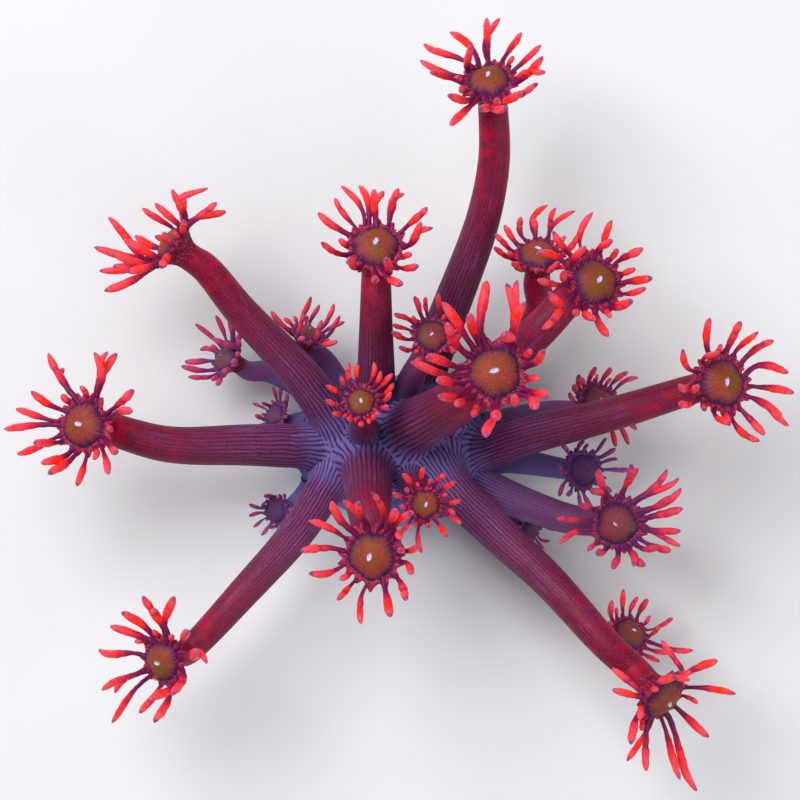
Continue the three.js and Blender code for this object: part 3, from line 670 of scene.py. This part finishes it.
# reach is the length of a tentacle in millimetres. Each tip is where one ends: [across, down], or
# [across, down, height] where the crown is seen from its side. forks pairs the tips that share
# a stem, by their numbers in the row.
TENTACLES = {
    "top": {"reach": 8.6, "forks": [[3, 4]], "tips": [
        [487, 18], [500, 18], [522, 32], [543, 57], [545, 72], [538, 83], [522, 92], [508, 108],
        [497, 99], [479, 108], [450, 126], [448, 95], [430, 72], [420, 60], [424, 44], [450, 32],
        [470, 46]]},
    "upper_left": {"reach": 9, "forks": [[0, 1]], "tips": [
        [172, 190, 32], [208, 188, 29], [217, 202, 33], [226, 211, 28], [183, 195, 25],
        [155, 203, 34], [142, 208, 27], [108, 217, 31], [124, 239, 36], [94, 247, 27],
        [111, 254, 33], [113, 266, 30], [99, 271, 25], [104, 291, 29], [127, 272, 34],
        [160, 268, 37], [184, 220, 37], [135, 236, 22]]},
    "left": {"reach": 9.5, "forks": [[0, 1], [9, 10]], "tips": [
        [48, 353], [64, 368], [31, 391], [16, 409], [4, 429], [33, 443], [17, 454], [41, 463],
        [48, 474], [94, 352], [108, 352], [117, 353], [133, 390], [131, 411], [116, 453],
        [108, 474]]},
    "lower_left": {"reach": 9.4, "forks": [[0, 1], [3, 4]], "tips": [
        [143, 596], [157, 611], [175, 596], [110, 626], [134, 637], [99, 650], [102, 690],
        [115, 693], [112, 723], [139, 713], [154, 722], [172, 695], [150, 699], [187, 632],
        [196, 650], [207, 663]]},
    "upper_middle": {"reach": 8.4, "forks": [[8, 9], [6, 7], [4, 5]], "tips": [
        [318, 212], [335, 198], [341, 186], [359, 186], [374, 189], [384, 191], [399, 188],
        [404, 194], [421, 222], [433, 228], [418, 266], [402, 284], [374, 280], [321, 242],
        [349, 258], [386, 258]]},
    "small_centre": {"reach": 5, "tips": [
        [349, 363], [357, 363], [374, 362], [381, 371], [393, 374], [394, 383], [391, 392],
        [388, 406], [375, 416], [362, 425], [348, 418], [332, 413], [326, 400], [326, 386],
        [341, 376]]},
    "lower_middle": {"reach": 9, "tips": [
        [332, 501], [343, 501], [359, 502], [372, 492], [309, 521], [300, 551], [309, 573],
        [337, 600], [361, 624], [390, 617], [406, 600], [412, 574], [400, 552], [400, 538],
        [418, 546], [396, 509], [412, 514]]},
    "lower_small": {"reach": 5.6, "tips": [
        [403, 474], [424, 467], [446, 473], [455, 482], [461, 500], [455, 515], [461, 524],
        [447, 537], [429, 527], [422, 553], [413, 513], [406, 490], [393, 493]]},
    "lower_right": {"reach": 9, "tips": [
        [612, 690, 40], [612, 668, 37], [718, 660, 36], [736, 694, 33], [709, 737, 29],
        [697, 791, 27], [680, 779, 30], [646, 771, 34], [627, 761, 30], [662, 640, 29],
        [640, 720, 43], [690, 680, 41]]},
    "lower_right_behind": {"reach": 6, "tips": [
        [638, 597], [648, 599], [673, 618], [661, 626], [693, 650], [612, 600], [598, 622],
        [604, 650]]},
    "right": {"reach": 8.6, "forks": [[7, 8]], "tips": [
        [683, 349], [710, 318], [741, 321], [758, 332], [774, 341], [788, 373], [794, 393],
        [782, 416], [789, 426], [765, 435], [760, 441], [731, 425], [719, 352], [679, 384],
        [698, 386], [679, 404]]},
    "centre_right": {"reach": 11.5, "forks": [[1, 2]], "tips": [
        [486, 280], [506, 283], [517, 280], [525, 302], [504, 334], [544, 350], [547, 398],
        [535, 408], [515, 396], [495, 417], [486, 436], [437, 381], [438, 396], [456, 405],
        [426, 357], [411, 362], [442, 302], [469, 314], [447, 323]]},
    "upper_right_back": {"reach": 6.6, "tips": [
        [504, 225], [521, 217], [532, 217], [548, 205], [556, 208], [575, 211], [579, 233],
        [495, 234], [494, 247], [512, 262], [560, 262]]},
    "upper_right_front": {"reach": 8.6, "tips": [
        [593, 212], [612, 220], [612, 240], [586, 246], [643, 248], [652, 278], [646, 288],
        [595, 320], [633, 301], [553, 231], [537, 254], [538, 280], [549, 292], [563, 271],
        [574, 311], [542, 329]]},
    "middle": {"reach": 6.2, "tips": [
        [414, 296], [426, 297], [438, 293], [394, 314], [392, 324], [392, 332], [399, 347],
        [416, 362], [440, 364], [455, 352], [461, 335], [455, 312]]},
    "right_behind": {"reach": 5.6, "tips": [
        [569, 393], [574, 386], [579, 375], [596, 367], [611, 368], [628, 372], [639, 378],
        [644, 421], [637, 430], [629, 445], [616, 447], [586, 440]]},
    "right_low": {"reach": 4.8, "tips": [
        [559, 496], [568, 496], [580, 506], [616, 448], [618, 459], [630, 470], [592, 507],
        [612, 492], [584, 440], [562, 446]]},
    "right_lower": {"reach": 8.4, "tips": [
        [599, 469], [631, 464], [638, 468], [667, 469], [679, 478], [681, 488], [671, 496],
        [683, 508], [681, 531], [680, 546], [671, 551], [658, 548], [645, 565], [634, 566],
        [613, 568], [597, 554], [580, 506], [591, 490]]},
    "left_behind_long": {"reach": 6.4, "tips": [
        [195, 324, 12], [181, 366, 15], [188, 377, 17], [217, 385, 18], [200, 350, 8],
        [241, 334, 15], [222, 372, 20], [212, 338, 19]]},
    "left_behind_short": {"reach": 5.4, "tips": [
        [311, 297, 17], [334, 304, 14], [340, 316, 18], [284, 318, 15], [271, 311, 18],
        [304, 312, 22], [322, 320, 21]]},
    "left_hidden": {"reach": 3.6, "tips": [
        [262, 403], [255, 415], [264, 430], [284, 400], [290, 432]]},
    "lower_left_hidden": {"reach": 3.6, "tips": [
        [284, 494], [264, 496], [260, 508], [266, 528], [280, 531]]},
    "lower_right_hidden": {"reach": 3.2, "tips": [
        [521, 516], [534, 519], [542, 530], [536, 540], [519, 530]]},
}


def tip_place(polyp, reach, axes, pixel):
    """Where a tentacle ends. One that looks short from above stands up by what it lacks."""
    middle, normal, side, up = axes
    if len(pixel) == 3:
        return seen(*pixel)
    bearing, tilt = (radians(angle) for angle in polyp["faces"])
    ahead = np.array([cos(bearing), sin(bearing), 0])
    place = middle
    for _ in range(3):
        offset = seen(*pixel, place[2]) - middle
        sideways, forwards = offset @ side, offset @ ahead
        stretch = max(0, np.hypot(sideways, forwards / cos(tilt)) - polyp["disc"])
        lift = max(0, reach ** 2 - stretch ** 2) ** 0.5
        upwards = (lift * sin(tilt) - forwards) / cos(tilt)
        place = middle + lift * normal + sideways * side + upwards * up
    return place


def rim_direction(axes, turn):
    _, _, side, up = axes
    return cos(radians(turn)) * side + sin(radians(turn)) * up


def resting_tip(polyp, reach, axes, turn, share=1.0):
    middle, normal, _, _ = axes
    out = polyp["disc"] + share * reach * TENTACLE_AT_EASE["reach"]
    return (middle + out * rim_direction(axes, turn)
            + share * reach * TENTACLE_AT_EASE["lift"] * normal)


def tentacle_plan(polyp, reach, axes, pixels):
    """The turn round the rim, the tip and the number of each tip, with their turns moved apart."""
    middle, _, side, up = axes
    plan = []
    for number, pixel in enumerate(pixels):
        tip = tip_place(polyp, reach, axes, pixel)
        offset = tip - middle
        plan.append([np.degrees(np.arctan2(offset @ up, offset @ side)), tip, number])
    plan.sort(key=lambda tentacle: tentacle[0])
    k = 0
    while k < len(plan):
        after = plan[k + 1][0] if k + 1 < len(plan) else plan[0][0] + 360
        if after - plan[k][0] > TURNS["widest"]:
            turn = plan[k][0] + TURNS["widest"] / 2
            plan.insert(k + 1, [turn, resting_tip(polyp, reach, axes, turn), None])
        k += 1
    root_turn = np.degrees(TURNS["root_width"] / (LIP[0][0] * polyp["disc"]))
    tightest = min(max(TURNS["tightest"], root_turn), TURNS["room_to_move"] / len(plan))
    for _ in range(TURNS["passes"]):
        for k, tentacle in enumerate(plan):
            last = k == len(plan) - 1
            after = plan[0 if last else k + 1]
            overlap = tightest - (after[0] + (360 if last else 0) - tentacle[0])
            if overlap > 0:
                tentacle[0] -= overlap / 2
                after[0] += overlap / 2
    return plan


def grown_tentacles(polyp, reach, axes, pixels, forks, chance):
    """Each tentacle's turn round the rim, its tips and its girth, with young ones in the gaps."""
    plan = tentacle_plan(polyp, reach, axes, pixels)
    numbered = {number: (turn, tip) for turn, tip, number in plan}
    branch_of = dict(forks)
    grown = []
    for turn, tip, number in plan:
        if number in branch_of:
            branch_turn, _ = numbered[branch_of[number]]
            branch_tip = seen(*pixels[branch_of[number]][:2], tip[2])
            turn += ((branch_turn - turn + 180) % 360 - 180) / 2
            grown.append((turn, [tip, branch_tip], chance.uniform(*GIRTHS["forked"])))
        elif number not in branch_of.values():
            grown.append((turn, [tip], chance.uniform(*GIRTHS["single"])))
    turns = [turn for turn, _, _ in grown]
    for turn, after in zip(turns, [*turns[1:], turns[0] + 360]):
        if after - turn > TURNS["bud_space"]:
            middle_turn = (turn + after) / 2
            tip = resting_tip(polyp, reach, axes, middle_turn, chance.uniform(*BUD_REACH))
            grown.append((middle_turn, [tip], chance.uniform(*GIRTHS["bud"])))
    return grown


def tentacle_line(start, leaving, normal, tip, chance):
    """A tentacle's middle line, which leaves in one direction and curves over to its tip."""
    length = np.linalg.norm(tip - start)
    heading = (tip - start) / length
    sideways = np.cross(heading, normal)
    bow = np.clip(chance.normal(0, TENTACLE["bend"]), -TENTACLE["most_bend"], TENTACLE["most_bend"])
    bends = (bow * np.array([1, TENTACLE["counter_bend"]])
             + chance.normal(0, TENTACLE["bend"] / 2, 2))
    near = start + length * (TENTACLE["handle"] * leaving + bends[0] * sideways)
    droop = TENTACLE["droop"] * max(0, heading @ normal)
    far = tip - length * (TENTACLE["handle"] * heading + droop * normal + bends[1] * sideways)
    share = 1 - (1 - np.linspace(0, 1, TENTACLE["points"])[:, None]) ** TENTACLE["crowding"]
    return ((1 - share) ** 3 * start + 3 * share * (1 - share) ** 2 * near
            + 3 * share ** 2 * (1 - share) * far + share ** 3 * tip), share[:, 0]


class CrownParts:
    """The points of a crown's parts, with the values that its shape and its finishes need."""

    def __init__(self, dull):
        self.dull = dull
        self.points = np.empty((0, 3))
        self.outwards = np.empty((0, 3))
        self.edges = []
        self.values = {key: np.empty(0) for key in ("part", "along", "girth", "band", "spread",
                                                    "groove", "streak", "tip", "dull")}

    def add(self, points, joined=False, outwards=(0, 0, 0), **values):
        if joined:
            first = len(self.points)
            self.edges += [(first + k, first + k + 1) for k in range(len(points) - 1)]
        self.points = np.vstack([self.points, points])
        self.outwards = np.vstack([self.outwards, np.broadcast_to(outwards, points.shape)])
        values["dull"] = self.dull
        for key, numbers in self.values.items():
            added = np.broadcast_to(values.get(key, 0.0), len(points))
            self.values[key] = np.append(numbers, added)

    def add_tentacle(self, line, along, girth, chance):
        band = np.zeros(len(line))
        slim = SLIM_STEM["most"] * chance.uniform()
        girth = girth * (1 - slim * np.clip((SLIM_STEM["ends"] - along) / SLIM_STEM["fade"], 0, 1))
        if chance.uniform() < KNUCKLE["chance"]:
            place = chance.uniform(*KNUCKLE["place"])
            band = np.exp(-((along - place) / KNUCKLE["length"]) ** 2)
        self.add(line, joined=True, part=1, along=along, band=band, tip=chance.uniform(0.2, 1.0),
                 girth=girth * (1 - KNUCKLE["pinch"] * band) * MM)


def crown_body(parts, polyp, axes, root_turns, chance):
    """Adds the cup, the rim with its webs and the domed disc, and gives back their faces.

    The value spread is 0 at the mouth, 1 at the edge of the disc and largest at the neck.
    """
    middle, normal, _, _ = axes
    neck = polyp["neck"] / polyp["disc"]
    rim = LIP[0][0]
    cup = [(neck + (rim - neck) * out, height) for out, height in CUP]
    corners = np.array(cup + LIP + DOME)
    fine = np.linspace(0, len(corners) - 1, (len(corners) - 1) * CROWN_MESH["steps"] + 1)
    out, height = (np.interp(fine, np.arange(len(corners)), corners[:, k]) for k in (0, 1))
    for _ in range(2):
        out[1:-1] = (out[:-2] + 2 * out[1:-1] + out[2:]) / 4
        height[1:-1] = (height[:-2] + 2 * height[1:-1] + height[2:]) / 4
    below = np.clip((len(cup) - fine) / len(cup), 0, 1)
    on_disc = fine > len(cup) + len(LIP) - 0.9
    turn = np.arange(CROWN_MESH["around"]) / CROWN_MESH["around"] * 2 * pi

    apart = (np.degrees(turn)[:, None] - root_turns + 180) % 360 - 180
    web = np.exp(-(apart / WEB["half_turn"]) ** 2).max(axis=1)
    pull = WEB["reach"] * web - WEB["notch"] * (1 - web)
    lobes = sum(np.cos(count * turn + chance.uniform(0, 6)) for count in DISC["lumps"])
    outline = DISC["uneven"] * lobes + DISC["scallop"] * np.cos(DISC["scallops"] * turn)
    ribs = np.clip(-np.cos(RIBS["count"] * turn), 0, 1) ** CUP_RIBS["sharpness"]
    groove = np.outer(np.clip(below * CUP_RIBS["fade"], 0, 1), ribs)
    streaks = chance.uniform(size=len(turn))
    streaks = (streaks + np.roll(streaks, 1) + np.roll(streaks, -1) * 0.5) / 2.5
    at_edge = np.interp(out, DISC["edge"], (0, 1)) * (1 - below)
    at_rim = np.clip((out - 1) / (rim - 1), 0, 1) * (1 - below)
    from_middle = np.abs(out - DISC["relief_place"]) / DISC["relief_spread"]
    inner = np.clip(1 - from_middle, 0, 1) * on_disc
    wide = (out[:, None] * (1 + np.outer(at_edge, outline)) + np.outer(at_rim, pull)
            - CUP_RIBS["depth"] * groove)
    high = height[:, None] + DISC["relief"] * np.outer(inner, streaks)
    flatness = 1 - (1 - MOUTH["flatness"]) * np.clip(MOUTH["fade"] - wide / MOUTH["radius"], 0, 1)
    slit = chance.uniform(0, 180)
    long_way, short_way = rim_direction(axes, slit), rim_direction(axes, slit + 90)
    from_slit = turn - radians(slit)
    points = middle + polyp["disc"] * ((wide * np.cos(from_slit))[..., None] * long_way
                                       + (wide * flatness * np.sin(from_slit))[..., None] * short_way
                                       + high[..., None] * normal)
    spread = np.where(fine < len(cup), np.interp(below, (0, 1), CUP_SPREAD), out)
    parts.add(points.reshape(-1, 3), spread=np.repeat(spread, len(turn)), groove=groove.ravel(),
              streak=np.tile(streaks, len(fine)))
    return hoops(len(fine), len(turn)), np.repeat(on_disc[:-1], len(turn))


def full_crown():
    """The body of a crown stays, its lines become tentacles and its loose points flecks."""
    recipe, given, identifiers = shape_recipe("crown", {
        "Crown": "Geometry", "Tentacle facets": TENTACLE["facets"],
        "Lumpiness": TENTACLE["lumpiness"], "Fleck radius": FLECKS["radius"] * MM,
        "Fleck seed": FLECKS["seed"], "Tentacle flesh": "Material", "Fleck flesh": "Material"})

    def only(part):
        chosen = recipe.value("part").maths("COMPARE", part, 0.1)
        return recipe.node("GeometryNodeSeparateGeometry", {"domain": "POINT"},
                           {"Geometry": given, "Selection": chosen})

    swelling = recipe.node("ShaderNodeFloatCurve", {"bends": TENTACLE_PROFILE},
                           {"Value": recipe.value("along")})
    outline = round_outline(recipe, given.other("Tentacle facets"))
    fingers = tubes(recipe, only(1.0), outline, swelling * recipe.value("girth"))
    lumps = recipe.noise(TENTACLE["lump_size"], 2)
    swell = (lumps - 0.5) * recipe.value("girth") * given.other("Lumpiness")
    lumpy = moved(recipe, fingers, along_normals(recipe, swell))
    tentacles = dressed(recipe, lumpy, given.other("Tentacle flesh"))

    grain = recipe.node("GeometryNodeMeshIcoSphere", None, {
        "Radius": given.other("Fleck radius"), "Subdivisions": 2})
    size = recipe.node("FunctionNodeRandomValue", {"data_type": "FLOAT"}, {
        2: FLECKS["sizes"][0], 3: FLECKS["sizes"][1], "Seed": given.other("Fleck seed")}, outlet=1)
    facing = recipe.node("FunctionNodeAlignRotationToVector", {"axis": "X"},
                         {"Vector": recipe.value("outwards", "FLOAT_VECTOR")})
    grains = recipe.node("GeometryNodeInstanceOnPoints", None, {
        "Points": only(2.0), "Instance": grain, "Rotation": facing,
        "Scale": recipe.vector("SCALE", FLECKS["shape"], Scale=size)})
    flecks = dressed(recipe, grains, given.other("Fleck flesh"))

    together = recipe.tree.nodes.new("GeometryNodeJoinGeometry")
    for part in (flecks, tentacles, only(0.0)):
        recipe.tree.links.new(part.socket, together.inputs[0])
    smooth = recipe.node("GeometryNodeSetShadeSmooth", None, {"Geometry": Wire(together.outputs[0])})
    recipe.node("NodeGroupOutput", None, {"Shape": smooth})
    return recipe.tree, identifiers


def paint_rim(recipe):
    spread = recipe.value("spread")
    skin = recipe.ramp(spread * 0.5, (0.5, "4A1640"), (0.53, "8A1E42"), (0.6, "981E44"),
                       (0.68, "5C0E34"), (1, "800630"))
    # painted shade: the cup's rib grooves are darkened
    ribbed = recipe.mix(recipe.value("groove") * 0.6, skin, "420628")
    mottled = recipe.mix(recipe.noise(0.9, 3).rise(0.45, 0.65) * 0.5, ribbed, "4C184A")
    embers = recipe.mix(recipe.noise(0.4, 2).rise(0.52, 0.6) * 0.6, mottled, "D83844")
    return dulled(recipe, embers, "44326A")


def paint_disc(recipe):
    spread = recipe.value("spread")
    patches = recipe.ramp(recipe.noise(4, 2), (0.36, "744814"), (0.48, "843C20"), (0.6, "8E342C"))
    grained = recipe.mix(recipe.noise(0.25, 2).rise(0.5, 0.65) * 0.35, patches, "AE6C34")
    streak = recipe.value("streak").rise(0.3, 0.7)
    streaked = recipe.mix(streak * 0.2, grained, "562C2C")
    edge = spread + (recipe.noise(0.5, 3) - 0.5) * 0.2 + (streak - 0.5) * 0.1
    mauve = recipe.mix(edge.rise(0.5, 0.9) * 0.6, streaked, "6A2A4A")
    edged = recipe.mix(edge.rise(0.74, 1.0) * 0.85, mauve, "3A1448")
    dull = dulled(recipe, edged, "3C2E68")
    mouth = spread + (recipe.noise(0.3, 3) - 0.5) * 0.16 + recipe.value("dull") * 0.2
    # the mouth's pale lavender-white lips: partly their own colour, partly a painted highlight
    lips_and_highlight = recipe.mix(recipe.noise(0.22, 1).rise(0.58, 0.64) * 0.5, "D8CCFA", "8070C0")
    return recipe.mix(1 - mouth.rise(0.1, 0.22), dull, lips_and_highlight)


def paint_tentacle(recipe):
    along = recipe.value("along")
    place = along + (recipe.noise(1.6, 3) - 0.5) * 0.3
    red = recipe.ramp(place, (0, "4E1040"), (0.2, "621042"), (0.38, "821242"), (0.5, "C01838"),
                      (0.62, "E63442"), (0.85, "F04854"))
    hot = recipe.noise(2.2, 1).rise(0.5, 0.58) * along.rise(0.4, 0.55) * (1 - along.rise(0.7, 0.95))
    heated = recipe.mix(hot, red, "FF2C14")
    mottled = recipe.mix(recipe.noise(0.7, 3).rise(0.52, 0.64) * 0.45, heated, "A81444")
    banded = recipe.mix(recipe.value("band") * 0.6, mottled, "5C1648")
    ending = along + (recipe.noise(1.2, 2) - 0.5) * 0.08
    tipped = recipe.mix(ending.rise(0.9, 0.99) * recipe.value("tip"), banded, "5A3468")
    pale_end = recipe.mix(along.rise(0.97, 1.0) * 0.4, tipped, "9480C0")
    return dulled(recipe, pale_end, "503C7C")


def paint_fleck(recipe):
    red = recipe.ramp(recipe.noise(0.9, 2), (0.35, "8A1440"), (0.55, "C82C3C"), (0.7, "E84838"))
    return dulled(recipe, red, "4C3470")


rim_flesh = flesh("rim_flesh", paint_rim, CROWN_GRAIN, roughness=0.5, painted_glow=0.05, sheen=0.05)
disc_flesh = flesh("disc_flesh", paint_disc, CROWN_GRAIN, roughness=0.6, painted_glow=0.04)
tentacle_flesh = flesh("tentacle_flesh", paint_tentacle, CROWN_GRAIN,
                       roughness=0.42, painted_glow=0.12, sheen=0.05)
fleck_flesh = flesh("fleck_flesh", paint_fleck, CROWN_GRAIN, roughness=0.4, painted_glow=0.12)
crown_shape = full_crown()
chance = np.random.RandomState(11)
for name, polyp in POLYPS.items():
    axes = crown_axes(polyp)
    middle, normal, _, _ = axes
    reach, tips = TENTACLES[name]["reach"], TENTACLES[name]["tips"]
    forks = TENTACLES[name].get("forks", [])
    grown = grown_tentacles(polyp, reach, axes, tips, forks, chance)
    parts = CrownParts(DULLNESS_AND_SHADE.get(name, 0.0))
    faces, disc_faces = crown_body(parts, polyp, axes, [turn for turn, _, _ in grown], chance)

    full_girth = TENTACLE["radius"] * (reach / TENTACLE["reach_of_radius"]) ** TENTACLE["thickening"]
    for turn, ends, girth in grown:
        outwards = rim_direction(axes, turn)
        start = middle + polyp["disc"] * (TENTACLE["root_place"] * outwards
                                          + TENTACLE["root_height"] * normal)
        leaving = outwards + TENTACLE["root_lift"] * normal
        line, along = tentacle_line(start, leaving, normal, ends[0], chance)
        girth *= full_girth
        fork = chance.uniform(*FORK["at"])
        on_stem = np.clip((fork - along) / FORK["fade"] + 0.5, 0, 1)
        stem_girth = girth * (1 + FORK["stem"] * on_stem)
        parts.add_tentacle(line, along, stem_girth if ends[1:] else girth, chance)
        for end in ends[1:]:
            k = int(np.searchsorted(along, fork))
            leaving = (line[k + 1] - line[k]) / np.linalg.norm(line[k + 1] - line[k])
            branch, share = tentacle_line(line[k], leaving, normal, end, chance)
            parts.add_tentacle(branch, along[k] + (1 - along[k]) * share, girth * FORK["branch"],
                               chance)

    fleck_count = round(2 * pi * polyp["disc"] / FLECKS["spacing"])
    for k in range(fleck_count):
        stray = chance.uniform(-FLECKS["stray"], FLECKS["stray"])
        outwards = rim_direction(axes, 360 * (k + stray) / fleck_count)
        place = polyp["disc"] * (chance.uniform(FLECKS["inner"], FLECKS["outer"]) * outwards
                                 + FLECKS["height"] * normal)
        parts.add(np.array([middle + place]), part=2, outwards=outwards)

    values = {**parts.values, "outwards": parts.outwards}
    mesh = new_mesh("crown_parts", parts.points, faces, values, parts.edges)
    for material in (rim_flesh, disc_flesh):
        mesh.materials.append(material)
    mesh.polygons.foreach_set("material_index", disc_faces.astype(int))
    crown = shaped("head_" + name, mesh, crown_shape,
                   {"Tentacle flesh": tentacle_flesh, "Fleck flesh": fleck_flesh})
    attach(crown, "root")
    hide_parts("crown_" + name)

# The setting: a plain pale floor, a large soft lamp over the coral and a weaker one beside it.
FLOOR_HALF_WIDTH = 2.0
floor_mesh = bpy.data.meshes.new("floor")
floor_mesh.from_pydata([(x * FLOOR_HALF_WIDTH, y * FLOOR_HALF_WIDTH, 0)
                        for x, y in ((-1, -1), (1, -1), (1, 1), (-1, 1))], [], [(0, 1, 2, 3)])
floor = placed("floor", floor_mesh)
floor_paint = bpy.data.materials.new("floor")
floor_paint.use_nodes = True
floor_surface = floor_paint.node_tree.nodes["Principled BSDF"].inputs
floor_surface["Base Color"].default_value = tint("DCDCDE")
floor_surface["Roughness"].default_value = 0.7
floor_mesh.materials.append(floor_paint)

LAMPS = {"key": {"place": (-0.35, 0.35, 0.75), "width": 0.55, "power": 8.5},
         "fill": {"place": (0.6, -0.35, 0.5), "width": 0.6, "power": 3.0}}
for name, lamp in LAMPS.items():
    light = bpy.data.lights.new(name, "AREA")
    light.size = lamp["width"]
    light.energy = lamp["power"]
    stand = placed(name, light)
    stand.location = lamp["place"]
    direction = -np.array(lamp["place"])
    stand.rotation_euler = (np.arccos(-direction[2] / np.linalg.norm(direction)), 0,
                            np.arctan2(direction[1], direction[0]) - pi / 2)
world = bpy.data.worlds.new("studio")
bpy.context.scene.world = world
world.use_nodes = True
sky = world.node_tree.nodes["Background"].inputs
sky["Color"].default_value = (0.9, 0.93, 1.0, 1)
sky["Strength"].default_value = 0.3
bpy.context.scene.view_settings.view_transform = "Standard"
